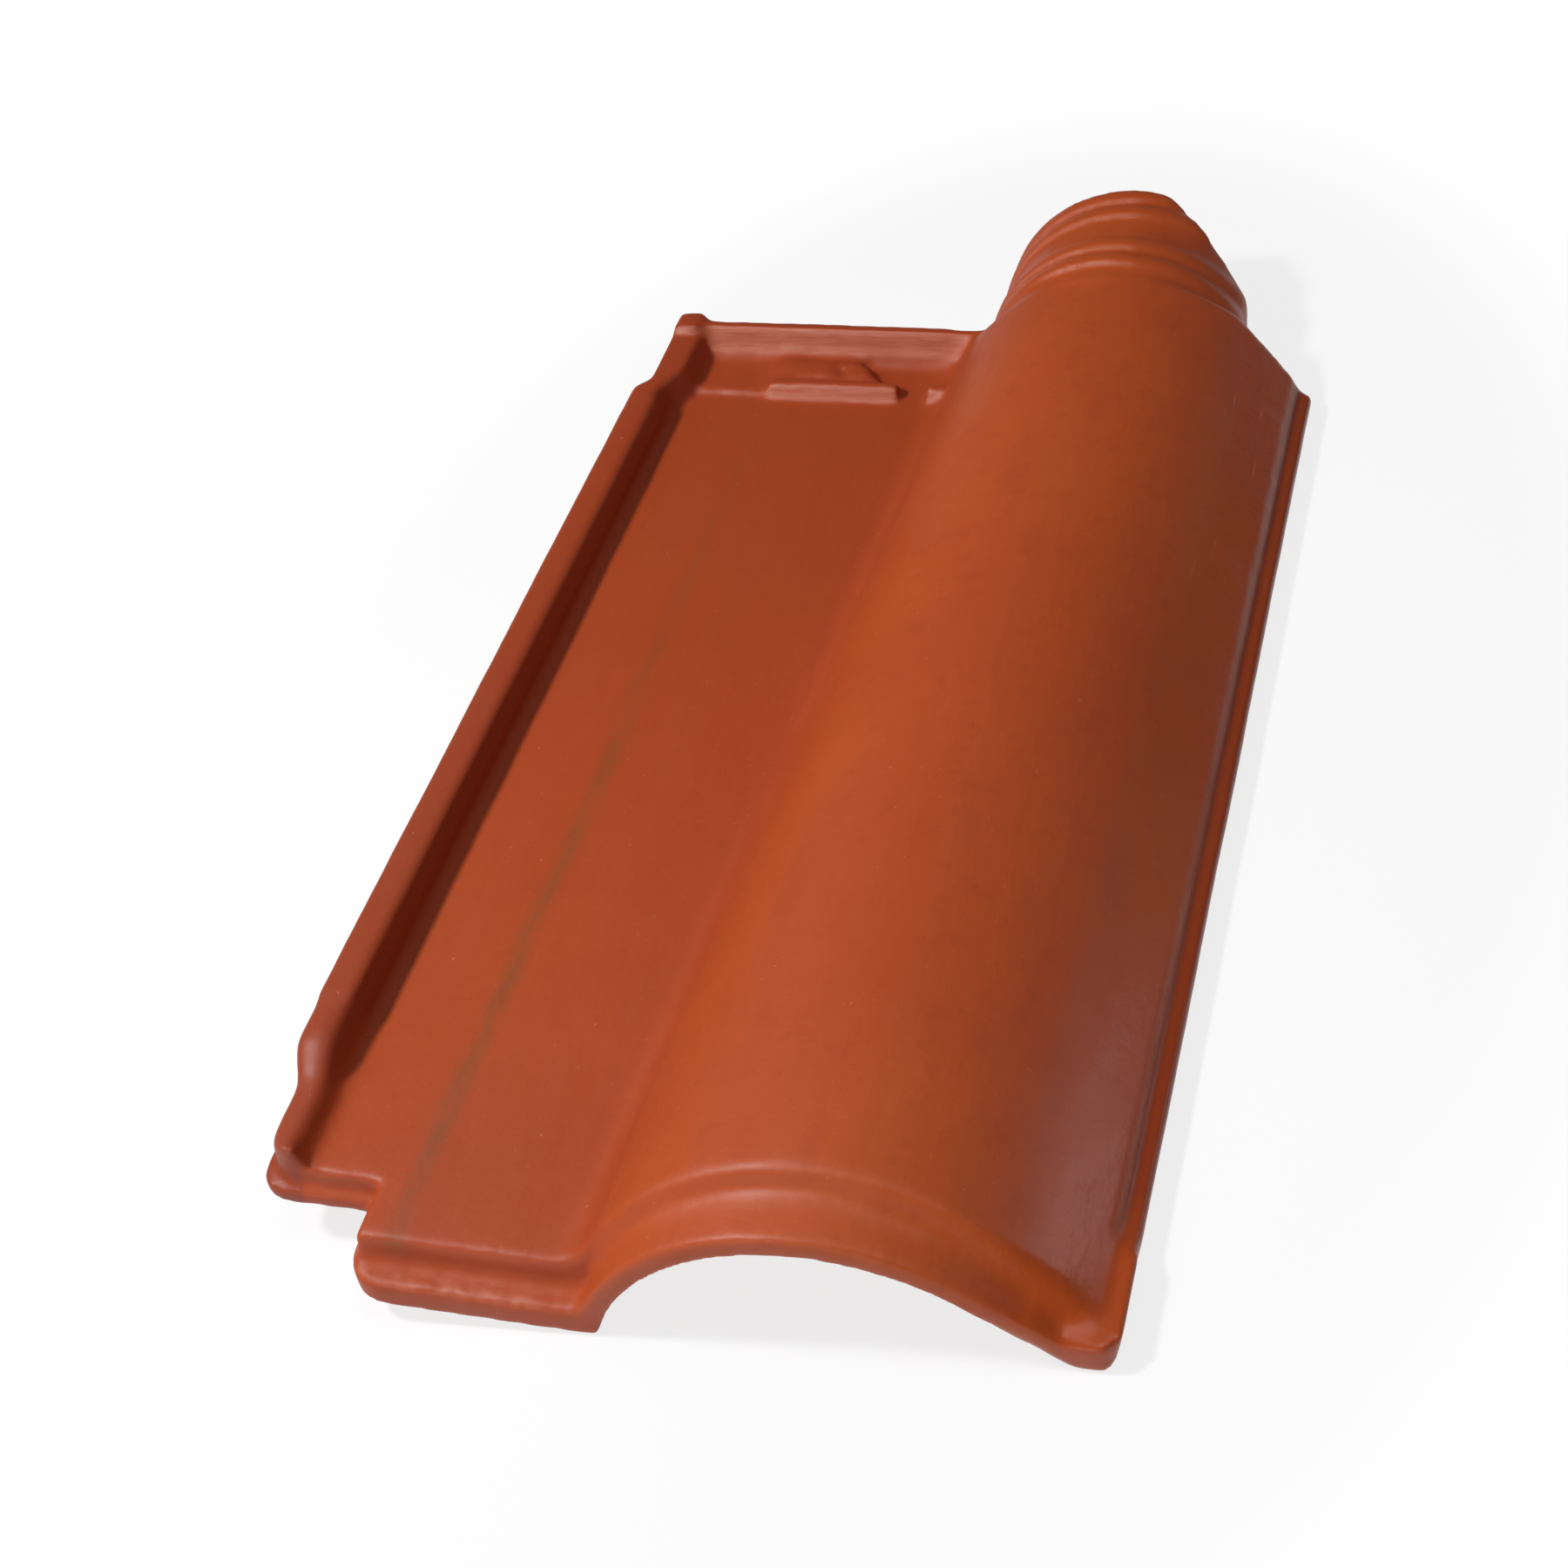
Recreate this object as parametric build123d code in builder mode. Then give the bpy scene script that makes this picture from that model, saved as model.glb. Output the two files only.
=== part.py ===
from build123d import *

import os
from math import acos, atan2, cos, degrees, radians, sin, sqrt, tan

# Clay roof tile: one fired piece with a flat pan, a tapering barrel and a ringed neck.
# Driving sizes in millimetres. X runs across, Y from the front lip to the neck, Z up.
tile_width = 210.0
tile_length = 411.0
neck_reach = 41.5
overrun = 20.0
mould_draft = 11.3
pan_length = tile_length - neck_reach

# Pan: the flat water channel, lifted by the lip's foot and the nib.
foot_height = 4.2
pan_wall = 10.0
pan_top = foot_height + pan_wall
bury = pan_wall / 2

# Left rim, which the barrel of the next tile covers.
rim_height = 10.0
rim_top = pan_top + rim_height
rim_crown = 9.0
rim_slope = 3.5
rim_round = 2.4
rim_foot_round = 4.0
rim_low_height = 5.2
rim_low = pan_top + rim_low_height
rim_low_end = 46.0
rim_rise = 9.0
rim_front_inset = 3.2
rim_back_inset = 5.0
rim_back_setback = 38.0
rim_back_run = 4.5
rim_jog = 12.0
corner_rise = 2.2

# Barrel: centre, inside radius and sink of the centre at the front and at the shoulder.
barrel_x_shares = (0.692, 0.7214)
barrel_radius_shares = (0.2686, 0.2214)
barrel_sink_shares = (0.3085, 0.1613)
barrel_wall = 11.2
flare_angle = 34.2
valley_round = 10.0
shoulder_wall = 8.0

# Right edge, which covers the rim of its neighbour.
flange_under = 13.9
flange_thick = 8.4
flange_width = 6.6
flange_round = 2.0
flange_sink = 3.4
groove_radius = 1.2
flange_end_round = 3.0
flange_top = flange_under + flange_thick
flange_foot_x = tile_width - flange_thick * tan(radians(mould_draft))
groove_x = tile_width - flange_width

# Front lip: a thin tongue under a front face that steps back and leans.
lip_top = 7.5
lip_wall = 6.0
lip_depth = 26.0
lip_left_share = 0.1425
lip_left = tile_width * lip_left_share
lip_corner_round = 10.5
lip_round = 1.6
lip_bevel = 1.2
step_setback = 6.9
step_front = 0.5
step_round = 1.8

# Notch at the front left corner, stepped like the lip.
notch_depth = 21.2
notch_overlap = 2.6
notch_right = lip_left + notch_overlap
notch_step = 2.6
notch_lift = 1.2
notch_round = 8.0
half_share = 0.5

# Back rim of the pan.
back_rim_height = 10.6
back_rim_top = pan_top + back_rim_height
back_rim_depth = 9.2
back_rim_round = 2.6
back_rim_front = pan_length - back_rim_depth
shoulder_end = back_rim_front
gusset_round = 8.0

# Water bar, pads and nail mark in front of the back rim.
bar_setback = 29.0
bar_height = 4.6
bar_slope = 2.4
bar_crown = 3.0
bar_left_share = 0.193
bar_right_share = 0.395
pad_height = 2.6
pad_back_share = 0.314
side_pad_height = 1.4
gap_width = 9.0
dimple_share = 0.299
dimple_setback = 16.5
dimple_radius = 1.9
dimple_depth = 1.6
bar_left = tile_width * bar_left_share
bar_right = tile_width * bar_right_share
pad_back = tile_width * pad_back_share
bar_front = pan_length - bar_setback
bar_top_front = bar_front + bar_slope

# Neck: a collar with two double rings, its right corners cut on the slant.
neck_x_share = 0.709
neck_radius_share = 0.2043
neck_rise = 0.45
neck_taper = 1.2
neck_wall = 9.0
neck_bevel = 2.0
ring_height = 1.6
ring_width = 7.4
ring_bevel = 1.4
ring_reaches = (-0.8, 8.2, 27.6, 36.6)
neck_side_share = 0.87
neck_slant_share = 0.19
neck_slant_length = 29.0
shoulder_slant = 16.0
slant_round = 7.0

# Nib under the back of the pan, which hooks over a batten.
nib_left_share = 0.19
nib_setback = 23.5
nib_depth = 14.0

flare = radians(flare_angle)
valley_z = pan_top + valley_round
stations = []
for station, at in enumerate((0, shoulder_end)):
    inside = tile_width * barrel_radius_shares[station]
    sink = inside * barrel_sink_shares[station]
    stations.append((at, tile_width * barrel_x_shares[station], -sink, inside))
front_x, front_z, front_inside = stations[0][1:]
back_x, back_z, back_inside = stations[1][1:]
back_outside = back_inside + barrel_wall
neck_x = tile_width * neck_x_share
neck_outside = tile_width * neck_radius_share
neck_inside = neck_outside - neck_wall
neck_z = back_z + back_outside + neck_rise - neck_outside
neck_side = neck_x + neck_outside * neck_side_share
neck_slant_x = neck_x + neck_outside * neck_slant_share
lip_foot_x = front_x - sqrt(front_inside**2 - front_z**2)
front_reach = front_inside + barrel_wall + valley_round
pan_edge = front_x - sqrt(front_reach**2 - (valley_z - front_z) ** 2) - valley_round
rim_foot = (rim_crown + rim_slope, pan_top)

with BuildPart() as tile:
    # Pan and left rim, with the same section all along.
    with BuildSketch(Plane.XZ) as pan:
        with BuildLine():
            Polyline((0, foot_height), (0, rim_top), (rim_crown, rim_top), rim_foot, (pan_edge, pan_top),
                     (pan_edge, foot_height), close=True)
        make_face()
        fillet(pan.vertices().sort_by_distance((0, rim_top))[0], rim_round)
        fillet(pan.vertices().sort_by_distance((rim_crown, rim_top))[0], rim_round)
        fillet(pan.vertices().sort_by_distance(rim_foot)[0], rim_foot_round)
    extrude(amount=-pan_length)

    # Tapering barrel: one closed section at the front and one at the shoulder.
    for at, centre_x, centre_z, inside in stations:
        outside = inside + barrel_wall
        reach = outside + valley_round
        valley_x = centre_x - sqrt(reach**2 - (valley_z - centre_z) ** 2)
        join_share = outside / reach
        join = (centre_x + (valley_x - centre_x) * join_share,
                centre_z + (valley_z - centre_z) * join_share)
        half = atan2(centre_x - valley_x, valley_z - centre_z) / 2
        valley_mid = (valley_x + valley_round * sin(half), valley_z - valley_round * cos(half))
        out_foot = (tile_width, flange_top - flange_sink)
        out_far = sqrt((out_foot[0] - centre_x) ** 2 + (out_foot[1] - centre_z) ** 2)
        out_turn = atan2(out_foot[1] - centre_z, out_foot[0] - centre_x) + acos(outside / out_far)
        out_tangent = (centre_x + outside * cos(out_turn), centre_z + outside * sin(out_turn))
        in_tangent = (centre_x + inside * sin(flare), centre_z + inside * cos(flare))
        in_foot = (in_tangent[0] + (in_tangent[1] - flange_under) / tan(flare), flange_under)
        in_left = (centre_x - sqrt(inside**2 - (foot_height - centre_z) ** 2), foot_height)
        with BuildSketch(Plane.XZ.offset(-at)):
            with BuildLine():
                Polyline(in_left, (pan_edge, foot_height), (pan_edge, pan_top), (valley_x, pan_top))
                ThreePointArc((valley_x, pan_top), valley_mid, join)
                ThreePointArc(join, (centre_x, centre_z + outside), out_tangent)
                Polyline(out_tangent, out_foot, (tile_width, flange_under), in_foot, in_tangent)
                ThreePointArc(in_tangent, (centre_x, centre_z + inside), in_left)
            make_face()
    loft(ruled=True)

    # Notch at the front left corner, stepped like the lip.
    with BuildSketch(Plane.XY.offset(-overrun)):
        with Locations((-overrun, -overrun)):
            Rectangle(overrun + notch_right, overrun + notch_depth, align=(Align.MIN, Align.MIN))
    extrude(amount=tile_width, mode=Mode.SUBTRACT)

    # The front face steps back above the lip and leans, so that the tile leaves its mould.
    with BuildSketch(Plane.XY.offset(lip_top)) as step:
        with BuildLine():
            Polyline((tile_width + overrun, step_front), (tile_width + overrun, -overrun),
                     (-overrun, -overrun), (-overrun, step_setback), (lip_foot_x, step_setback))
            TangentArc((lip_foot_x, step_setback), (tile_width + overrun, step_front), tangent=(1, 0))
        make_face()
    extrude(amount=front_inside, taper=-mould_draft, mode=Mode.SUBTRACT)
    extrude(step.sketch, amount=-overrun, mode=Mode.SUBTRACT)
    step_radius = front_inside + (lip_wall + barrel_wall) / 2
    step_edges = tile.edges().filter_by(
        lambda edge: notch_right + lip_round < edge.center().X < tile_width - lip_round
        and step_front < edge.center().Y < lip_depth
        and edge.center().Z > pan_top - bury
        and (edge.center().X < lip_foot_x
             or sqrt((edge.center().X - front_x) ** 2 + (edge.center().Z - front_z) ** 2) > step_radius))
    fillet(step_edges, step_round)

    # Flange along the right edge, with a groove between it and the barrel.
    with BuildSketch(Plane.XZ) as flange:
        with Locations((groove_x, flange_under)):
            Rectangle(flange_width, flange_thick, align=(Align.MIN, Align.MIN))
        fillet(flange.vertices().sort_by_distance((tile_width, flange_top))[0], flange_round)
    extrude(amount=-shoulder_end)
    with BuildSketch(Plane.XZ.offset(-step_setback)):
        with Locations((groove_x + groove_radius, flange_top)):
            RegularPolygon(groove_radius, 4)
    extrude(amount=step_setback + shoulder_slant + overrun - shoulder_end, mode=Mode.SUBTRACT)

    # Lip: a thin tongue under the step, with a foot below the pan.
    lip_outside = front_inside + lip_wall
    lip_tangent = (front_x + lip_outside * sin(flare), front_z + lip_outside * cos(flare))
    lip_end = (lip_tangent[0] + (lip_tangent[1] - flange_top) / tan(flare), flange_top)
    in_tangent = (front_x + front_inside * sin(flare), front_z + front_inside * cos(flare))
    in_foot = (in_tangent[0] + (in_tangent[1] - flange_under) / tan(flare), flange_under)
    lip_reach = lip_outside + lip_wall
    lip_valley_z = lip_top + lip_wall
    lip_valley_x = front_x - sqrt(lip_reach**2 - (lip_valley_z - front_z) ** 2)
    lip_share = lip_outside / lip_reach
    lip_join = (front_x + (lip_valley_x - front_x) * lip_share,
                front_z + (lip_valley_z - front_z) * lip_share)
    lip_half = atan2(front_x - lip_valley_x, lip_valley_z - front_z) / 2
    lip_mid = (lip_valley_x + lip_wall * sin(lip_half), lip_valley_z - lip_wall * cos(lip_half))
    with BuildPart() as lip:
        with BuildSketch(Plane.XZ):
            with BuildLine():
                Polyline((lip_foot_x, 0), (lip_left, 0), (lip_left, lip_top), (lip_valley_x, lip_top))
                ThreePointArc((lip_valley_x, lip_top), lip_mid, lip_join)
                ThreePointArc(lip_join, (front_x, front_z + lip_outside), lip_tangent)
                Polyline(lip_tangent, lip_end, (tile_width, flange_top), (tile_width, flange_under),
                         in_foot, in_tangent)
                ThreePointArc(in_tangent, (front_x, front_z + front_inside), (lip_foot_x, 0))
            make_face()
        extrude(amount=-lip_depth)
        lip_corner = lip.edges().filter_by(Axis.Z).sort_by_distance((lip_left, 0, 0))[0]
        fillet(lip_corner, lip_corner_round)
        lip_edges = lip.faces().sort_by(Axis.Y)[0].edges().filter_by(
            lambda edge: edge.center().Z > flange_under + lip_round
            and sqrt((edge.center().X - front_x) ** 2 + (edge.center().Z - front_z) ** 2)
            > lip_outside - lip_round
            or abs(edge.center().Z - lip_top) < lip_round)
        chamfer(lip_edges.filter_by(lambda edge: edge.center().X < tile_width - lip_round), lip_bevel)

    # Shoulder: a wall that closes the barrel down to the neck.
    out_left = (back_x - sqrt(back_outside**2 - (foot_height - back_z) ** 2), foot_height)
    with BuildSketch(Plane.XZ.offset(shoulder_wall - shoulder_end)):
        with BuildLine():
            ThreePointArc(out_left, (back_x, back_z + back_outside), out_tangent)
            Polyline(out_tangent, out_foot, (tile_width, flange_under), (neck_x, flange_under),
                     (neck_x, foot_height), out_left)
        make_face()
        with Locations((neck_x, neck_z)):
            Circle(neck_inside, mode=Mode.SUBTRACT)
    extrude(amount=-shoulder_wall)

    # Neck and the ridges of its two rings, narrowing a little and open below.
    neck_from = shoulder_end - shoulder_wall / 2
    neck_bands = [(neck_from, tile_length, 0, neck_bevel)]
    for ring_reach in ring_reaches:
        ring_at = pan_length + ring_reach
        neck_bands.append((ring_at - ring_width / 2, ring_at + ring_width / 2, ring_height, ring_bevel))
    for band_from, band_to, band_height, band_bevel in neck_bands:
        from_radius = neck_outside + band_height - (band_from - neck_from) * tan(radians(neck_taper))
        to_radius = neck_outside + band_height - (band_to - neck_from) * tan(radians(neck_taper))
        with BuildPart() as band:
            with Locations((neck_x, band_from, neck_z)):
                Cone(from_radius, to_radius, band_to - band_from, rotation=(-90, 0, 0),
                     align=(Align.CENTER, Align.CENTER, Align.MIN))
            chamfer(band.edges().filter_by(GeomType.CIRCLE), band_bevel)
            with BuildSketch(Plane.XZ.offset(-band_from)):
                with Locations((neck_x, neck_z)):
                    Circle(neck_inside)
                with Locations((neck_x, foot_height)):
                    Rectangle(tile_width, tile_width, align=(Align.MAX, Align.MAX))
                with Locations((neck_x, flange_under)):
                    Rectangle(tile_width, tile_width, align=(Align.MIN, Align.MAX))
            extrude(amount=band_from - band_to, mode=Mode.SUBTRACT)

    # Back rim of the pan, swept up into the neck.
    gusset_z = back_rim_top + gusset_round
    gusset_reach = neck_outside + gusset_round
    gusset_x = neck_x - sqrt(gusset_reach**2 - (gusset_z - neck_z) ** 2)
    gusset_share = neck_outside / gusset_reach
    gusset_join = (neck_x + (gusset_x - neck_x) * gusset_share,
                   neck_z + (gusset_z - neck_z) * gusset_share)
    gusset_half = atan2(neck_x - gusset_x, gusset_z - neck_z) / 2
    gusset_mid = (gusset_x + gusset_round * sin(gusset_half), gusset_z - gusset_round * cos(gusset_half))
    with BuildPart() as back_rim:
        with BuildSketch(Plane.XZ.offset(-back_rim_front)):
            with BuildLine():
                Polyline((gusset_join[0], foot_height), (0, foot_height), (0, back_rim_top),
                         (gusset_x, back_rim_top))
                ThreePointArc((gusset_x, back_rim_top), gusset_mid, gusset_join)
                Line(gusset_join, (gusset_join[0], foot_height))
            make_face()
        extrude(amount=-back_rim_depth)
        rim_edges = back_rim.edges().filter_by(
            lambda edge: edge.center().Z > back_rim_top - back_rim_round and edge.center().X > rim_crown
            and abs(edge.center().Y - back_rim_front - back_rim_depth / 2) > back_rim_depth / 4)
        fillet(rim_edges, back_rim_round)

    # Near the back the left rim steps in, and its end stands a little higher.
    rim_back_start = pan_length - rim_back_setback
    for jog_shift, jog_at in ((0, rim_back_start), (rim_back_inset, rim_back_start + rim_jog)):
        with BuildSketch(Plane.XZ.offset(-jog_at)):
            with BuildLine():
                Polyline((rim_back_inset, foot_height), (rim_back_inset, rim_top),
                         (rim_crown + jog_shift, rim_top), (rim_foot[0] + jog_shift, pan_top),
                         (rim_foot[0] + jog_shift, foot_height), close=True)
            make_face()
    loft(ruled=True)
    jog_ends = ((rim_back_start + rim_jog, rim_top), (back_rim_front, back_rim_top + corner_rise))
    for jog_from, jog_top in jog_ends:
        with BuildSketch(Plane.XZ.offset(-jog_from)) as jog:
            with BuildLine():
                Polyline((rim_back_inset, foot_height), (rim_back_inset, jog_top),
                         (rim_back_inset + rim_crown, jog_top), (rim_back_inset + rim_foot[0], pan_top),
                         (rim_back_inset + rim_foot[0], foot_height), close=True)
            make_face()
            fillet(jog.vertices().group_by(Axis.Y)[-1], rim_round)
        extrude(amount=jog_from - pan_length)

    # Water bar, pads and nail mark on the pan.
    for pad_left, pad_rise in ((rim_crown, side_pad_height), (bar_left, pad_height)):
        with BuildSketch(Plane.XY.offset(pan_top - bury)):
            with BuildLine():
                Polyline((pad_left, bar_top_front), (pad_left, back_rim_front), (pad_back, back_rim_front),
                         (bar_right - bar_slope, bar_top_front), close=True)
            make_face()
        extrude(amount=bury + pad_rise)
    for bar_from, bar_to in ((bar_left, bar_right), (bar_right + gap_width, neck_x - neck_inside)):
        with BuildSketch(Plane.YZ.offset(bar_from)):
            with BuildLine():
                Polyline((bar_front, pan_top), (bar_top_front, pan_top + bar_height),
                         (bar_top_front + bar_crown, pan_top + bar_height),
                         (bar_top_front + bar_crown + bar_slope, pan_top),
                         (bar_top_front + bar_crown, pan_top - bury), (bar_top_front, pan_top - bury),
                         close=True)
            make_face()
        extrude(amount=bar_to - bar_from)
    with Locations((tile_width * dimple_share, pan_length - dimple_setback, pan_top + pad_height)):
        Cone(dimple_radius / 2, dimple_radius, dimple_depth,
             align=(Align.CENTER, Align.CENTER, Align.MAX), mode=Mode.SUBTRACT)

    # Nib level with the lip's foot.
    nib_left = tile_width * nib_left_share
    with BuildSketch():
        with Locations((nib_left, pan_length - nib_setback)):
            Rectangle(lip_foot_x - nib_left, nib_depth, align=(Align.MIN, Align.MIN))
    extrude(amount=foot_height + bury)

    # The rim drops and steps in at the front, and steps in again near the back.
    with BuildSketch(Plane.XY.offset(lip_top + notch_lift)):
        with Locations((-overrun, -overrun)):
            Rectangle(overrun + notch_right, overrun + notch_depth + notch_step,
                      align=(Align.MIN, Align.MIN))
    extrude(amount=tile_width, mode=Mode.SUBTRACT)
    with BuildSketch(Plane.YZ.offset(-overrun)):
        with BuildLine():
            Polyline((0, rim_low), (rim_low_end, rim_low), (rim_low_end + rim_rise, rim_top),
                     (rim_low_end + rim_rise, rim_top + overrun), (0, rim_top + overrun), close=True)
        make_face()
    extrude(amount=overrun + rim_crown + rim_slope, mode=Mode.SUBTRACT)
    ledge_top = lip_top + notch_lift
    corner_cuts = ((0, notch_depth, -overrun, overrun + ledge_top),
                   (rim_front_inset, notch_depth + notch_step, ledge_top, tile_width))
    for corner_x, corner_y, cut_from, cut_height in corner_cuts:
        turn_x = corner_x + notch_round
        turn_y = corner_y + notch_round
        turn_chord = notch_round * sqrt(half_share)
        with BuildSketch(Plane.XY.offset(cut_from)):
            with BuildLine():
                Polyline((turn_x, corner_y), (turn_x, 0), (-overrun, 0), (-overrun, rim_low_end + rim_rise),
                         (0, rim_low_end + rim_rise), (corner_x, rim_low_end), (corner_x, turn_y))
                ThreePointArc((corner_x, turn_y), (turn_x - turn_chord, turn_y - turn_chord),
                              (turn_x, corner_y))
            make_face()
        extrude(amount=cut_height, mode=Mode.SUBTRACT)
    with BuildSketch(Plane.XY.offset(-overrun)):
        with BuildLine():
            Polyline((-overrun, rim_back_start), (0, rim_back_start),
                     (rim_back_inset, rim_back_start + rim_back_run),
                     (rim_back_inset, pan_length + overrun), (-overrun, pan_length + overrun), close=True)
        make_face()
    extrude(amount=tile_width, mode=Mode.SUBTRACT)

    # The right edge leans in towards its foot and has a rounded front corner.
    with BuildSketch(Plane.XZ.offset(overrun)):
        with BuildLine():
            Polyline((tile_width, flange_top), (flange_foot_x, flange_under), (flange_foot_x, 0),
                     (tile_width + overrun, 0), (tile_width + overrun, flange_top), close=True)
        make_face()
    extrude(amount=-overrun - tile_length, mode=Mode.SUBTRACT)
    end_x = flange_foot_x - flange_end_round
    end_chord = flange_end_round * sqrt(half_share)
    with BuildSketch(Plane.XY.offset(-overrun)):
        with BuildLine():
            Polyline((end_x, 0), (end_x, -overrun), (tile_width + overrun, -overrun),
                     (tile_width + overrun, flange_end_round), (end_x + flange_end_round, flange_end_round))
            ThreePointArc((end_x + flange_end_round, flange_end_round),
                          (end_x + end_chord, flange_end_round - end_chord), (end_x, 0))
        make_face()
    extrude(amount=tile_width, mode=Mode.SUBTRACT)

    # Right back corner cut away on two slants, so that four tiles can meet.
    with BuildSketch(Plane.XY.offset(-overrun)) as corner:
        with BuildLine():
            Polyline((neck_slant_x, tile_length), (neck_side, tile_length - neck_slant_length),
                     (neck_side, shoulder_end), (tile_width, shoulder_end - shoulder_slant),
                     (tile_width + overrun, shoulder_end - shoulder_slant - overrun),
                     (tile_width + overrun, tile_length + overrun),
                     (neck_slant_x - overrun, tile_length + overrun), close=True)
        make_face()
        slant_corner = corner.vertices().sort_by_distance((neck_side, tile_length - neck_slant_length))[0]
        fillet(slant_corner, slant_round)
    extrude(amount=tile_width, mode=Mode.SUBTRACT)

# Laid down as it rests: on the lip's foot, the nib and the low edge of the flange.
lie_angle = degrees(atan2(flange_under, flange_foot_x - lip_foot_x))
lying_box = tile.part.rotate(Axis.Y, lie_angle).bounding_box()
lying_middle = lying_box.center()
with BuildPart() as roof_tile:
    with Locations(Location((-lying_middle.X, -lying_middle.Y, -lying_box.min.Z), (0, lie_angle, 0))):
        add(tile.part)

os.makedirs("parts", exist_ok=True)
roof_tile.part.label = "roof_tile"
export_step(roof_tile.part, "parts/roof_tile.step")
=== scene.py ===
import math

import bmesh
import bpy
from mathutils import Matrix, Vector


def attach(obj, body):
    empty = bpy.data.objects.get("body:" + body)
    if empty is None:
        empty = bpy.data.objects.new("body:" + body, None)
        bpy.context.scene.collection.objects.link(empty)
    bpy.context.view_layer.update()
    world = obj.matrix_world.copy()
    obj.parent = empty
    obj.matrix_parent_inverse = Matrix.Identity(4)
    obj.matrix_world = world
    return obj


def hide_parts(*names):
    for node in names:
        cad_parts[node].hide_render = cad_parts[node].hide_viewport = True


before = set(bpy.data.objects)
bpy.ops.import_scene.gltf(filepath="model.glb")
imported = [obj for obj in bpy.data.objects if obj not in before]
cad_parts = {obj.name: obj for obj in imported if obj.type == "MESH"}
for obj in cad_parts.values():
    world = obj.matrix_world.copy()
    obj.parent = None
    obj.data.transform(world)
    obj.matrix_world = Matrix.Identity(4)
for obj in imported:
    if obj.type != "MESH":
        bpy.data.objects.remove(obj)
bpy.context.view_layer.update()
print("frame loaded", sorted(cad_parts))

# the tile's own frame, front left corner at zero: rest turned back about Y, then moved
restPose = {"lean": 6.79495, "origin": (0.10637, 0.2055, 0.001752)}

# how a node tree is laid out, and the colour sockets of a mix node
nodeGrid = {"columns": 12, "width": 240, "height": 300}
mixSockets = {"factor": 0, "base": 6, "tint": 7, "result": 2}


def addNode(tree, kind, **settings):
    node = tree.nodes.new(kind)
    row, column = divmod(len(tree.nodes), nodeGrid["columns"])
    node.location = (column * nodeGrid["width"], -row * nodeGrid["height"])
    for key, value in settings.items():
        setattr(node, key, value)
    return node


def setInputs(node, **values):
    for key, value in values.items():
        node.inputs[key.replace("_", " ")].default_value = value
    return node


def feedInput(tree, socket, value):
    if isinstance(value, (int, float, tuple)):
        socket.default_value = value
    else:
        tree.links.new(value, socket)


def addMath(tree, operation, *values):
    node = addNode(tree, "ShaderNodeMath", operation=operation)
    for socket, value in zip(node.inputs, values):
        feedInput(tree, socket, value)
    return node.outputs[0]


def addProduct(tree, product, *factors):
    for factor in factors:
        product = addMath(tree, "MULTIPLY", product, factor)
    return product


def addRange(tree, value, low, high, toLow=0.0, toHigh=1.0):
    node = addNode(tree, "ShaderNodeMapRange", interpolation_type="SMOOTHSTEP")
    setInputs(node, From_Min=low, From_Max=high, To_Min=toLow, To_Max=toHigh)
    tree.links.new(value, node.inputs["Value"])
    return node.outputs[0]


def addStretch(tree, vector, scale):
    node = setInputs(addNode(tree, "ShaderNodeMapping"), Scale=scale)
    tree.links.new(vector, node.inputs["Vector"])
    return node.outputs["Vector"]


def addNoise(tree, vector, stretch, scale, detail, roughness):
    if stretch:
        vector = addStretch(tree, vector, stretch)
    node = addNode(tree, "ShaderNodeTexNoise")
    setInputs(node, Scale=scale, Detail=detail, Roughness=roughness)
    tree.links.new(vector, node.inputs["Vector"])
    return node.outputs["Fac"]


def addTint(tree, factor, base, tint):
    node = addNode(tree, "ShaderNodeMix", data_type="RGBA")
    for key, value in (("factor", factor), ("base", base), ("tint", tint)):
        feedInput(tree, node.inputs[mixSockets[key]], value)
    return node.outputs[mixSockets["result"]]


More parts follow.
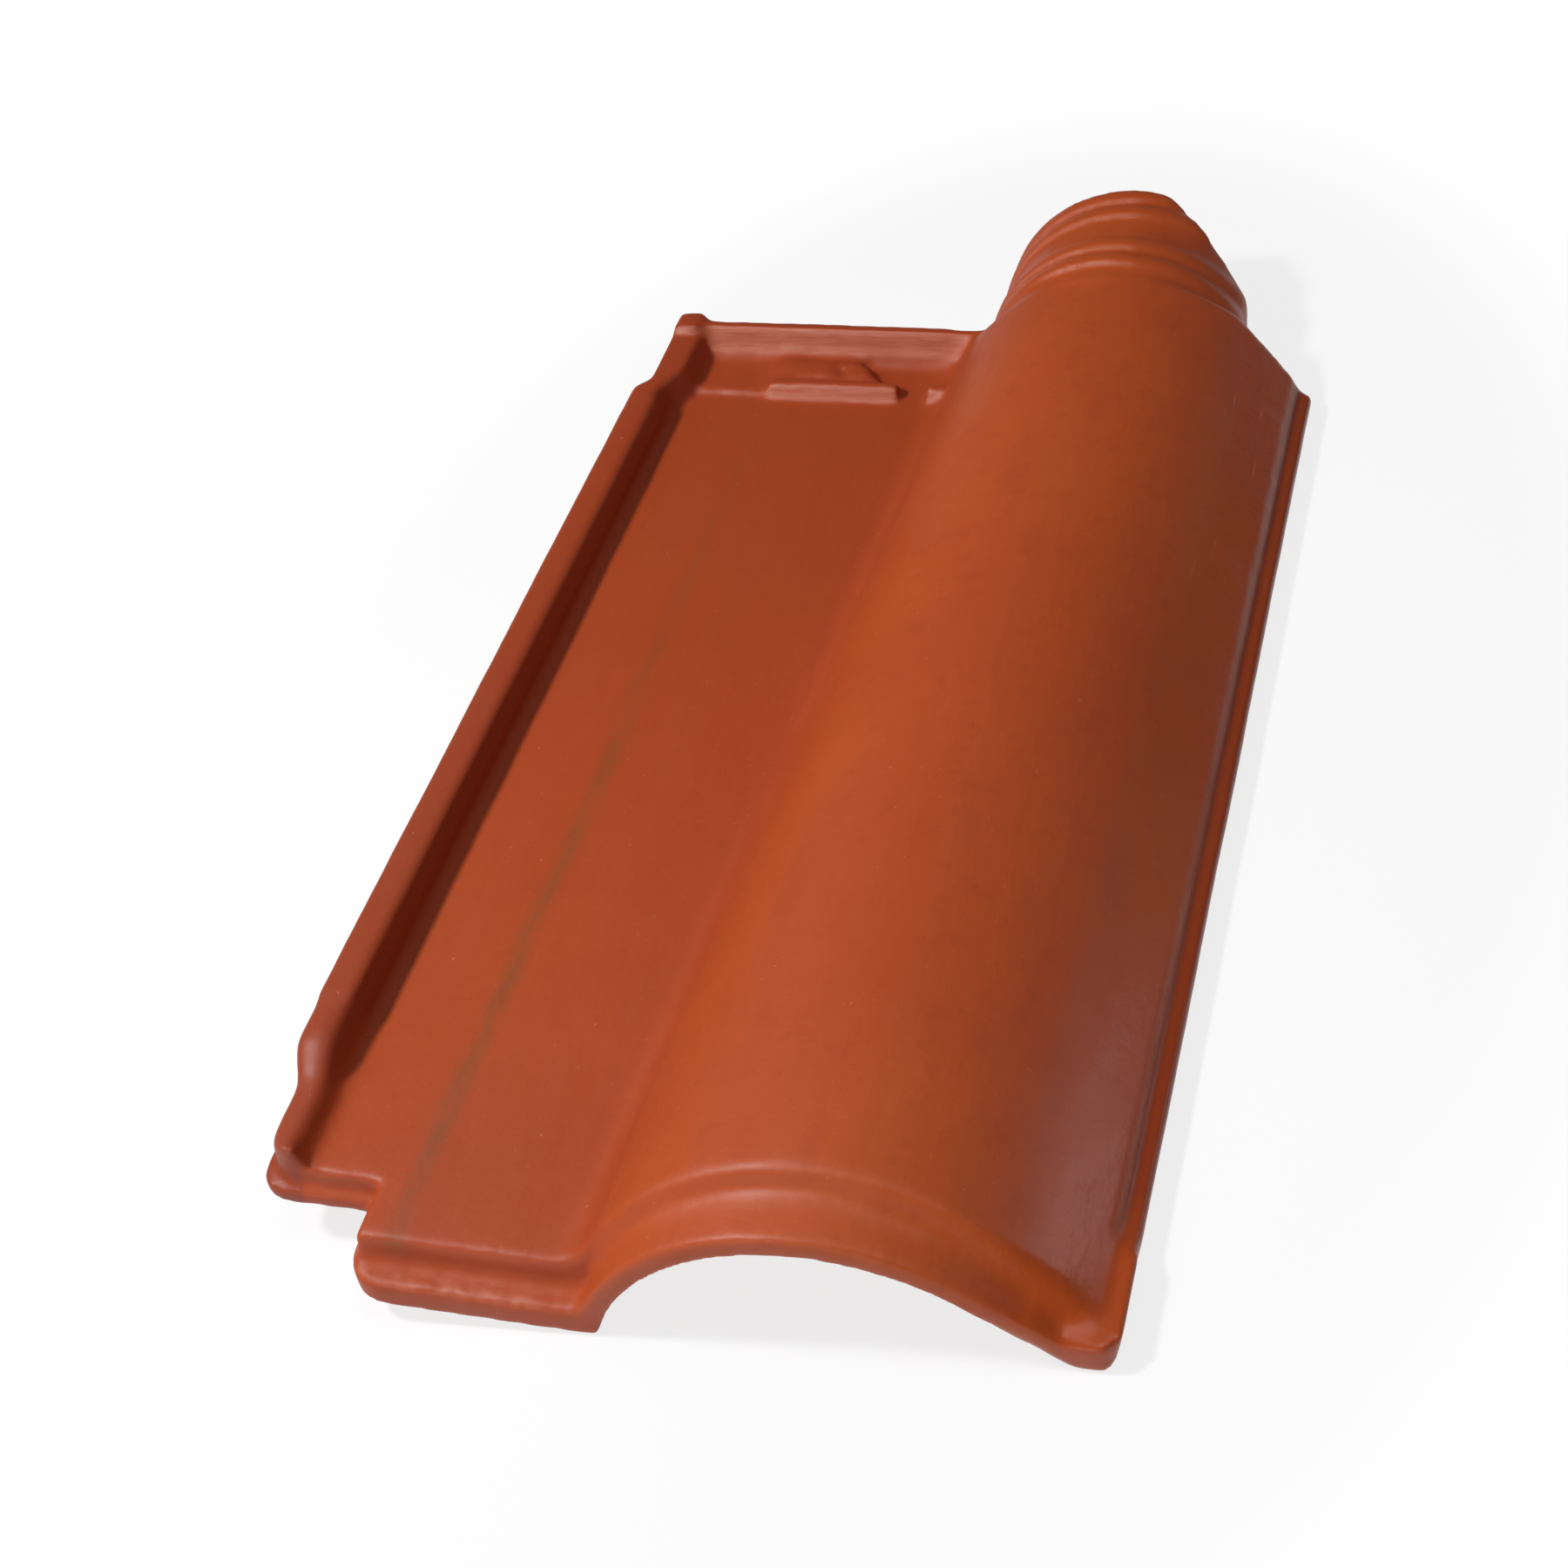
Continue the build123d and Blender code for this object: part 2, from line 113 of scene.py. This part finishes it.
# slip-coated terracotta: colours in linear light, places in the tile's metres
claySlip = {
    "name": "slip_terracotta",
    "ior": 1.5,
    "specular": 0.38,
    "bump": {"Strength": 0.35, "Distance": 0.0006},
    "skinRelief": 0.35,
    "colours": {
        "body": (0.372, 0.054, 0.0075, 1.0),
        "warm": (0.404, 0.063, 0.0080, 1.0),
        "deep": (0.305, 0.040, 0.0065, 1.0),
        # darker colour of the side rim, also used to paint the barrel's shadow on the flange
        "rim": (0.215, 0.029, 0.0060, 1.0),
        "speck": (0.520, 0.190, 0.110, 1.0),
        # pale tint of the painted highlight on convex edges and the lip tongue, partly wear
        "edge": (0.430, 0.115, 0.060, 1.0),
        # painted shade for concave corners and creases
        "creaseShade": (0.280, 0.036, 0.0080, 1.0),
        # painted sheen on the forward-facing faces at the back
        "backSheen": (0.520, 0.200, 0.135, 1.0),
    },
    # stretch, scale, detail and roughness of each noise
    "noises": {
        "broad": (None, 11.0, 3.0, 0.55),
        "cloudy": ((40.0, 9.0, 40.0), 1.0, 3.0, 0.6),
        "fine": (None, 150.0, 3.0, 0.65),
        "drift": ((6.0, 14.0, 6.0), 1.0, 2.0, 0.5),
        "patches": ((300.0, 60.0, 300.0), 1.0, 3.0, 0.6),
        "grain": (None, 620.0, 2.0, 0.6),
        "scuffs": ((700.0, 40.0, 700.0), 1.0, 1.0, 0.4),
        # streaks that break up the painted sheen at the back
        "sheenStreaks": ((90.0, 1100.0, 1100.0), 1.0, 2.0, 0.6),
        "skin": (None, 420.0, 3.0, 0.6),
        "press": ((160.0, 45.0, 160.0), 1.0, 3.0, 0.5),
    },
    # each mask runs from the first value to the second, and gives the third to the fourth
    "masks": {
        "warm": (0.42, 0.68, 0.0, 1.0),
        "thin": (0.54, 0.78, 0.0, 0.5),
        "fine": (0.50, 0.80, 0.0, 0.4),
        "pan": (0.080, 0.120, 0.5, 0.0),
        "rim": (0.0105, 0.0140, 0.7, 0.0),
        # painted shadow of the barrel on the flange
        "flange": (0.2036, 0.2056, 0.0, 0.75),
        "flangeShadowFrom": (0.020, 0.045, 0.0, 1.0),
        # painted shade: the pan darker towards the back, where the light falls off
        "back": (0.12, 0.34, 0.0, 0.6),
        "backShadePan": (0.080, 0.120, 1.0, 0.0),
        "panStart": (0.006, 0.008, 0.0, 1.0),
        "panEnd": (0.336, 0.340, 1.0, 0.0),
        "patches": (0.34, 0.64, 0.3, 1.0),
        # painted highlight on the tongue under the pan's front
        "lipFrom": (-0.0003, 0.0005, 0.0, 0.45),
        "lipTo": (0.0040, 0.0050, 1.0, 0.0),
        "lipLeft": (0.030, 0.034, 0.0, 1.0),
        "lipRight": (0.084, 0.092, 1.0, 0.0),
        "lipAbove": (0.0062, 0.0070, 0.0, 1.0),
        "lipGrain": (0.38, 0.62, 0.15, 1.0),
        "grain": (0.70, 0.80, 0.0, 0.45),
        "scuffs": (0.73, 0.77, 0.0, 0.4),
        "scuffsFrom": (0.186, 0.190, 0.0, 1.0),
        "scuffsAlong": (0.20, 0.30, 0.0, 1.0),
        # painted highlight on convex edges and crests, partly wear
        "wearAndSheen": (0.52, 0.60, 0.0, 0.5),
        "wearAndSheenGrain": (0.35, 0.60, 0.3, 1.0),
        # painted shade in concave corners and creases
        "creaseShade": (0.40, 0.485, 0.55, 0.0),
        # painted sheen on forward-facing faces at the back
        "forward": (-0.62, -0.22, 0.44, 0.0),
        "backSheenFrom": (0.330, 0.334, 0.0, 1.0),
        "sheenStreaks": (0.38, 0.62, 0.60, 1.0),
        "backSheenAbove": (0.0168, 0.0182, 0.0, 1.0),
        "backSheenBefore": (0.349, 0.351, 1.0, 0.0),
        "dry": (0.35, 0.70, 0.48, 0.58),
        "flankGloss": (0.178, 0.194, 0.0, -0.20),
        "pooled": (0.46, 0.495, 0.32, 0.0),
    },
    # the noise's middle and how far it carries a streak to the side
    "sway": (0.5, 0.004),
    "streakCore": 0.0003,
    # middle across, half width, strength, fade along and colour of each streak on the pan
    "streaks": (
        (0.042, 0.0046, 0.66, (0.06, 0.40), (0.200, 0.056, 0.014, 1.0)),
        (0.089, 0.0046, 0.50, (0.22, 0.42), (0.300, 0.034, 0.0060, 1.0)),
    ),
}


def makeClay(spec):
    material = bpy.data.materials.new(spec["name"])
    material.use_nodes = True
    tree = material.node_tree
    shader = tree.nodes["Principled BSDF"]
    coords = addNode(tree, "ShaderNodeTexCoord")
    turn = (0.0, -math.radians(restPose["lean"]), 0.0)
    lay = addNode(tree, "ShaderNodeMapping")
    setInputs(lay, Location=restPose["origin"], Rotation=turn)
    tree.links.new(coords.outputs["Object"], lay.inputs["Vector"])
    place = lay.outputs["Vector"]
    split = addNode(tree, "ShaderNodeSeparateXYZ")
    tree.links.new(place, split.inputs["Vector"])
    across, along, up = split.outputs
    geometry = addNode(tree, "ShaderNodeNewGeometry")
    edges = geometry.outputs["Pointiness"]
    facing = addNode(tree, "ShaderNodeSeparateXYZ")
    tree.links.new(geometry.outputs["Normal"], facing.inputs["Vector"])
    noises = {name: addNoise(tree, place, *values) for name, values in spec["noises"].items()}

    def mask(name, value):
        return addRange(tree, value, *spec["masks"][name])

    def tint(colour, name, *factors):
        return addTint(tree, addProduct(tree, *factors), colour, spec["colours"][name])

    # mottling of the slip coat
    colour = tint(spec["colours"]["body"], "warm", mask("warm", noises["broad"]))
    colour = tint(colour, "deep", mask("thin", noises["cloudy"]))
    colour = tint(colour, "deep", mask("fine", noises["fine"]))

    # darker on the pan and the side rim; painted shadow of the barrel on the flange; painted
    # shade on the pan, darker towards the back where the light falls off
    colour = tint(colour, "deep", mask("pan", across))
    colour = tint(colour, "rim", mask("rim", across))
    colour = tint(colour, "rim", mask("flange", across), mask("flangeShadowFrom", along))
    colour = tint(colour, "deep", mask("back", along), mask("backShadePan", across))

    # darker streaks along the pan, the second along the valley where the pan meets the barrel
    middleDrift, reach = spec["sway"]
    sway = addMath(tree, "SUBTRACT", noises["drift"], middleDrift)
    swayed = addMath(tree, "ADD", across, addMath(tree, "MULTIPLY", sway, reach))
    onPan = addProduct(tree, mask("panStart", along), mask("panEnd", along))
    broken = mask("patches", noises["patches"])
    for middle, width, strength, fade, streakColour in spec["streaks"]:
        offset = addMath(tree, "ABSOLUTE", addMath(tree, "SUBTRACT", swayed, middle))
        band = addRange(tree, offset, spec["streakCore"], width, strength, 0.0)
        fading = addRange(tree, along, *fade, 1.0, 0.0)
        factor = addProduct(tree, band, onPan, fading, broken)
        colour = addTint(tree, factor, colour, streakColour)

    # painted highlight on the tongue under the pan's front, paler and grainy where its top
    # faces up to the light
    lipEnds = mask("lipFrom", along), mask("lipTo", along)
    lipSides = mask("lipLeft", across), mask("lipRight", across)
    lipFace = mask("lipAbove", up), mask("lipGrain", noises["fine"])
    colour = tint(colour, "edge", *lipEnds, *lipSides, *lipFace)

    # pale grains and scratches low on the barrel's outside; painted highlight on convex edges
    # and crests, partly wear; painted shade in concave corners and creases
    colour = tint(colour, "speck", mask("grain", noises["grain"]))
    outside = mask("scuffsFrom", across), mask("scuffsAlong", along)
    colour = tint(colour, "speck", mask("scuffs", noises["scuffs"]), *outside)
    colour = tint(colour, "edge", mask("wearAndSheen", edges), mask("wearAndSheenGrain", noises["fine"]))
    colour = tint(colour, "creaseShade", mask("creaseShade", edges))

    # painted sheen on the faces at the back that look forward (back rim, bar, neck rings),
    # broken into streaks
    forward = mask("forward", facing.outputs["Y"]), mask("backSheenFrom", along)
    level = addMath(tree, "MAXIMUM", mask("backSheenAbove", up), mask("backSheenBefore", along))
    colour = tint(colour, "backSheen", *forward, mask("sheenStreaks", noises["sheenStreaks"]), level)
    tree.links.new(colour, shader.inputs["Base Color"])

    # satin, drier where the slip is patchy and in corners, smoother on the outer flank
    dry = addMath(tree, "ADD", mask("dry", noises["cloudy"]), mask("flankGloss", across))
    roughness = addMath(tree, "ADD", dry, mask("pooled", edges))
    tree.links.new(roughness, shader.inputs["Roughness"])
    setInputs(shader, IOR=spec["ior"], Specular_IOR_Level=spec["specular"])
    relief = addMath(tree, "MULTIPLY", noises["skin"], spec["skinRelief"])
    bump = setInputs(addNode(tree, "ShaderNodeBump"), **spec["bump"])
    tree.links.new(addMath(tree, "ADD", relief, noises["press"]), bump.inputs["Height"])
    tree.links.new(bump.outputs["Normal"], shader.inputs["Normal"])
    return material


# fired clay skin, taken from the solid and softened the way pressed clay is;
# a zone is its low corner, its high corner and its feather, in the tile's metres
claySkin = {
    "name": "clay_tile",
    "node": "roof_tile",
    "slot": "clay",
    "mergeGap": 0.00002,
    "voxel": 0.001,
    "softenPasses": 4,
    "keepShare": 0.37,
    # zone and smoothing passes of each softer place
    "softZones": {
        "barrel_front": (((0.092, 0.0035, 0.006), (0.204, 0.020, 0.060), 0.003), 44),
        "rim_front": (((-0.010, 0.030, 0.016), (0.018, 0.066, 0.030), 0.006), 60),
        "notch_ledge": (((-0.010, 0.019, 0.003), (0.032, 0.028, 0.016), 0.004), 8),
        "neck_slant": (((0.160, 0.362, 0.018), (0.197, 0.412, 0.060), 0.012), 40),
        "rim_back": (((-0.010, 0.322, 0.017), (0.022, 0.375, 0.035), 0.006), 12),
        "barrel_foot": (((0.100, 0.345, 0.016), (0.130, 0.368, 0.040), 0.008), 30),
        "right_corner": (((0.192, 0.004, 0.016), (0.209, 0.030, 0.034), 0.005), 10),
        "back_rim_foot": (((0.014, 0.350, 0.012), (0.112, 0.3605, 0.0205), 0.004), 24),
        "back_rim_top": (((0.014, 0.358, 0.0215), (0.110, 0.367, 0.028), 0.003), 8),
        "water_bar": (((0.034, 0.337, 0.012), (0.122, 0.349, 0.022), 0.003), 5),
        "pad_edge": (((0.034, 0.345, 0.012), (0.047, 0.362, 0.0195), 0.003), 26),
        "flange_valley": (((0.196, 0.024, 0.016), (0.207, 0.350, 0.026), 0.004), 10),
    },
    # clay that stands further over than the solid: zone, shift and slant of the zone
    "leans": {
        "rim_low": (
            ((0.0075, 0.020, 0.0165), (0.0145, 0.046, 0.024), 0.003),
            (0.0010, 0.0, 0.0012), 0.0),
        "rim_inner": (
            ((0.0060, 0.052, 0.0190), (0.0120, 0.325, 0.027), 0.003),
            (0.0008, 0.0, 0.0003), 0.0),
        "back_rim_face": (
            ((0.016, 0.355, 0.0200), (0.108, 0.3615, 0.0270), 0.004),
            (0.0, 0.0030, 0.0), 0.0),
        "flange_edge": (
            ((0.2062, 0.030, 0.0185), (0.2120, 0.352, 0.0260), 0.0028),
            (0.0, 0.0, -0.0014), 0.0),
        "pad_top": (
            ((0.046, 0.3484, 0.0160), (0.0850, 0.3560, 0.0210), 0.0012),
            (0.0, 0.0, 0.0020), -1.0),
        "nail_mark": (
            ((0.0622, 0.3504, 0.0150), (0.0634, 0.3516, 0.0230), 0.0014),
            (0.0, 0.0, -0.0026), 0.0),
    },
    # clay that fills the corner of a step round the barrel: axis, bare radius, zone, height
    "swells": {
        "barrel_cove": (
            (0.1453, -0.0174), 0.0600,
            ((0.100, 0.0118, 0.014), (0.196, 0.0118, 0.060), 0.0045), 0.0006),
    },
    # size, height, middle and zone of each unevenness
    "pushes": {
        "wave": (0.035, 0.0005, 0.5, None),
        "dimple": (0.007, 0.00012, 0.5, None),
        "lip_edge": (
            0.006, 0.0002, 0.5,
            ((0.028, -0.010, -0.010), (0.215, 0.003, 0.060), 0.003)),
        "burr": (
            0.0030, 0.0006, 0.40,
            ((0.034, -0.001, 0.0062), (0.084, 0.0028, 0.010), 0.0015)),
    },
    "pushDepth": 1,
    # steps of weight in a vertex group, and the weight below which a place is left out
    "groupSteps": 20.0,
    "groupLeast": 0.02,
}


def easeStep(value, low, high):
    share = min(max((value - low) / (high - low), 0.0), 1.0)
    return share * share * (3.0 - 2.0 * share)


def zoneWeight(place, low, high, feather):
    weight = 1.0
    for axis in range(3):
        weight *= easeStep(place[axis], low[axis] - feather, low[axis])
        weight *= 1.0 - easeStep(place[axis], high[axis], high[axis] + feather)
        if weight == 0.0:
            break
    return weight


def addZone(piece, places, name, zone, spec):
    steps = spec["groupSteps"]
    levels = {}
    for index, place in enumerate(places):
        weight = zoneWeight(place, *zone)
        if weight > spec["groupLeast"]:
            levels.setdefault(round(weight * steps) / steps, []).append(index)
    group = piece.vertex_groups.new(name=name)
    for weight, indices in levels.items():
        group.add(indices, weight, "REPLACE")
    return group.name


def finishMesh(piece):
    graph = bpy.context.evaluated_depsgraph_get()
    mesh = bpy.data.meshes.new_from_object(piece.evaluated_get(graph))
    piece.modifiers.clear()
    piece.vertex_groups.clear()
    piece.data = mesh


# even mesh over a copy of the solid
def makeEven(spec):
    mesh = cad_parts[spec["node"]].data.copy()
    shape = bmesh.new()
    shape.from_mesh(mesh)
    bmesh.ops.remove_doubles(shape, verts=shape.verts, dist=spec["mergeGap"])
    shape.to_mesh(mesh)
    shape.free()
    piece = bpy.data.objects.new(spec["name"], mesh)
    bpy.context.scene.collection.objects.link(piece)
    remesh = piece.modifiers.new("even", "REMESH")
    remesh.mode = "VOXEL"
    remesh.voxel_size = spec["voxel"]
    finishMesh(piece)
    print("even skin", len(piece.data.polygons), "faces")
    return piece


def shiftZones(piece, places, fromTile, spec):
    for zone, shift, slant in spec["leans"].values():
        start = zone[0][1]
        turned = fromTile @ Vector(shift)
        for vertex, (across, along, up) in zip(piece.data.vertices, places):
            weight = zoneWeight((across - slant * (along - start), along, up), *zone)
            if weight > 0.0:
                vertex.co += turned * weight
    for (axisAcross, axisUp), bare, zone, height in spec["swells"].values():
        for vertex, place in zip(piece.data.vertices, places):
            arm = Vector((place[0] - axisAcross, 0.0, place[2] - axisUp))
            weight = zoneWeight(place, *zone) if arm.length > bare else 0.0
            if weight > 0.0:
                vertex.co += fromTile @ arm.normalized() * (height * weight)


# softer all over, then more where the mould is round, then uneven
def softenSkin(piece, places, spec):
    soften = piece.modifiers.new("soften", "SMOOTH")
    soften.iterations = spec["softenPasses"]
    for name, (zone, passes) in spec["softZones"].items():
        smooth = piece.modifiers.new(name, "SMOOTH")
        smooth.vertex_group = addZone(piece, places, name, zone, spec)
        smooth.iterations = passes
    for name, (size, height, middle, zone) in spec["pushes"].items():
        clouds = bpy.data.textures.new("clay_" + name, "CLOUDS")
        clouds.noise_scale = size
        clouds.noise_depth = spec["pushDepth"]
        push = piece.modifiers.new(name, "DISPLACE")
        push.texture = clouds
        push.texture_coords = "LOCAL"
        push.mid_level = middle
        push.strength = height
        if zone:
            push.vertex_group = addZone(piece, places, name, zone, spec)
    thin = piece.modifiers.new("thin", "DECIMATE")
    thin.ratio = spec["keepShare"]
    finishMesh(piece)


def makeSkin(spec, material):
    piece = makeEven(spec)
    turn = Matrix.Rotation(-math.radians(restPose["lean"]), 4, "Y")
    toTile = Matrix.Translation(restPose["origin"]) @ turn
    places = [tuple(toTile @ vertex.co) for vertex in piece.data.vertices]
    shiftZones(piece, places, toTile.to_3x3().inverted(), spec)
    softenSkin(piece, places, spec)
    piece.data.name = spec["name"]
    piece.data.materials.clear()
    piece.data.materials.append(material)
    piece.data.shade_smooth()
    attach(piece, "root")
    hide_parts(spec["node"])
    print("clay skin", len(piece.data.polygons), "faces")


makeSkin(claySkin, makeClay(claySlip))

# floor and light
studio = {
    "floorSize": 6.0,
    "floorShade": (0.8, 0.8, 0.8, 1.0),
    "floorRoughness": 0.9,
    "shadowShare": 0.2,
    # where the floor's shadow starts to fade, across, along and up, and where it is gone
    "shadowHalves": (0.17, 0.27, 1.0),
    "shadowFade": 1.35,
    "worldLight": 0.12,
    "worldColour": (1.0, 1.0, 1.0, 1.0),
    # heading is the way from the aim to the lamp; a lamp with a cone is a spot
    "lamps": {
        "key_lamp": {
            "heading": (-0.50, -0.27, 0.823), "reach": 0.9, "size": 0.12, "power": 7.5,
            "colour": (1.0, 1.0, 1.0), "aim": (0.0, 0.0, 0.02)},
        "front_strip": {
            "heading": (-0.25, -0.95, 0.22), "reach": 1.3, "size": 0.6, "power": 3.0,
            "colour": (1.0, 0.97, 0.95), "aim": (0.0, 0.0, 0.02)},
        "side_fill": {
            "heading": (0.30, -0.10, 0.95), "reach": 1.2, "size": 0.6, "power": 2.5,
            "colour": (1.0, 1.0, 1.0), "aim": (0.0, 0.0, 0.02)},
        "side_kicker": {
            "heading": (0.737, 0.608, 0.29), "reach": 0.5, "size": 0.06, "power": 0.5,
            "colour": (0.82, 0.88, 1.0), "aim": (0.088, -0.175, 0.02), "cone": 24.0},
    },
}


def makeFloor(spec):
    shape = bmesh.new()
    bmesh.ops.create_grid(shape, x_segments=1, y_segments=1, size=spec["floorSize"])
    mesh = bpy.data.meshes.new("studio_floor")
    shape.to_mesh(mesh)
    shape.free()
    floor = bpy.data.objects.new("studio_floor", mesh)
    bpy.context.scene.collection.objects.link(floor)
    material = bpy.data.materials.new("pale_floor")
    material.use_nodes = True
    tree = material.node_tree
    shader = tree.nodes["Principled BSDF"]
    setInputs(shader, Base_Color=spec["floorShade"], Roughness=spec["floorRoughness"])
    glow = addNode(tree, "ShaderNodeEmission")
    rays = addNode(tree, "ShaderNodeLightPath").outputs
    seen = addMath(tree, "MAXIMUM", rays["Is Camera Ray"], rays["Is Glossy Ray"])

    # the shadow shows near the tile and fades out to plain white
    coords = addNode(tree, "ShaderNodeTexCoord")
    halves = [1.0 / half for half in spec["shadowHalves"]]
    away = addNode(tree, "ShaderNodeVectorMath", operation="LENGTH")
    tree.links.new(addStretch(tree, coords.outputs["Object"], halves), away.inputs[0])
    fade = 1.0, spec["shadowFade"], 1.0 - spec["shadowShare"], 1.0
    plain = addRange(tree, away.outputs["Value"], *fade)
    mix = addNode(tree, "ShaderNodeMixShader")
    tree.links.new(addProduct(tree, seen, plain), mix.inputs[0])
    tree.links.new(shader.outputs[0], mix.inputs[1])
    tree.links.new(glow.outputs[0], mix.inputs[2])
    tree.links.new(mix.outputs[0], tree.nodes["Material Output"].inputs["Surface"])
    mesh.materials.append(material)


# plain white to the camera, and a low even light on the tile
def makeWorld(spec):
    world = bpy.data.worlds.new("studio")
    bpy.context.scene.world = world
    world.use_nodes = True
    tree = world.node_tree
    ground = setInputs(tree.nodes["Background"], Color=spec["worldColour"])
    rays = addNode(tree, "ShaderNodeLightPath").outputs
    seen = addMath(tree, "MAXIMUM", rays["Is Camera Ray"], rays["Is Transmission Ray"])
    level = addRange(tree, seen, 0.0, 1.0, spec["worldLight"], 1.0)
    tree.links.new(level, ground.inputs["Strength"])


def addLamp(name, heading, reach, size, power, colour, aim, cone=None):
    data = bpy.data.lights.new(name, "SPOT" if cone else "AREA")
    if cone:
        data.spot_size = math.radians(cone)
        data.spot_blend = 1.0
        data.shadow_soft_size = size
    else:
        data.shape = "DISK"
        data.size = size
    data.energy = power
    data.color = colour
    lamp = bpy.data.objects.new(name, data)
    bpy.context.scene.collection.objects.link(lamp)
    heading = Vector(heading).normalized()
    lamp.location = Vector(aim) + heading * reach
    lamp.rotation_euler = heading.to_track_quat("Z", "Y").to_euler()


makeFloor(studio)
makeWorld(studio)
for lampName, lampValues in studio["lamps"].items():
    addLamp(lampName, **lampValues)
print("studio ready")

# camera as the photograph was taken
photoView = {
    "location": (0.22943, -0.5113, 0.44533),
    "turn": (49.452, 14.111, 15.287),
    "lens": 59.58,
    "sensor": 36.0,
}
cameraData = bpy.data.cameras.new("photo_camera")
cameraData.sensor_width = photoView["sensor"]
cameraData.lens = photoView["lens"]
camera = bpy.data.objects.new("photo_camera", cameraData)
camera.location = photoView["location"]
camera.rotation_euler = [math.radians(angle) for angle in photoView["turn"]]
bpy.context.scene.collection.objects.link(camera)
bpy.context.scene.camera = camera
bpy.context.scene.view_settings.view_transform = "Standard"
print("camera ready")
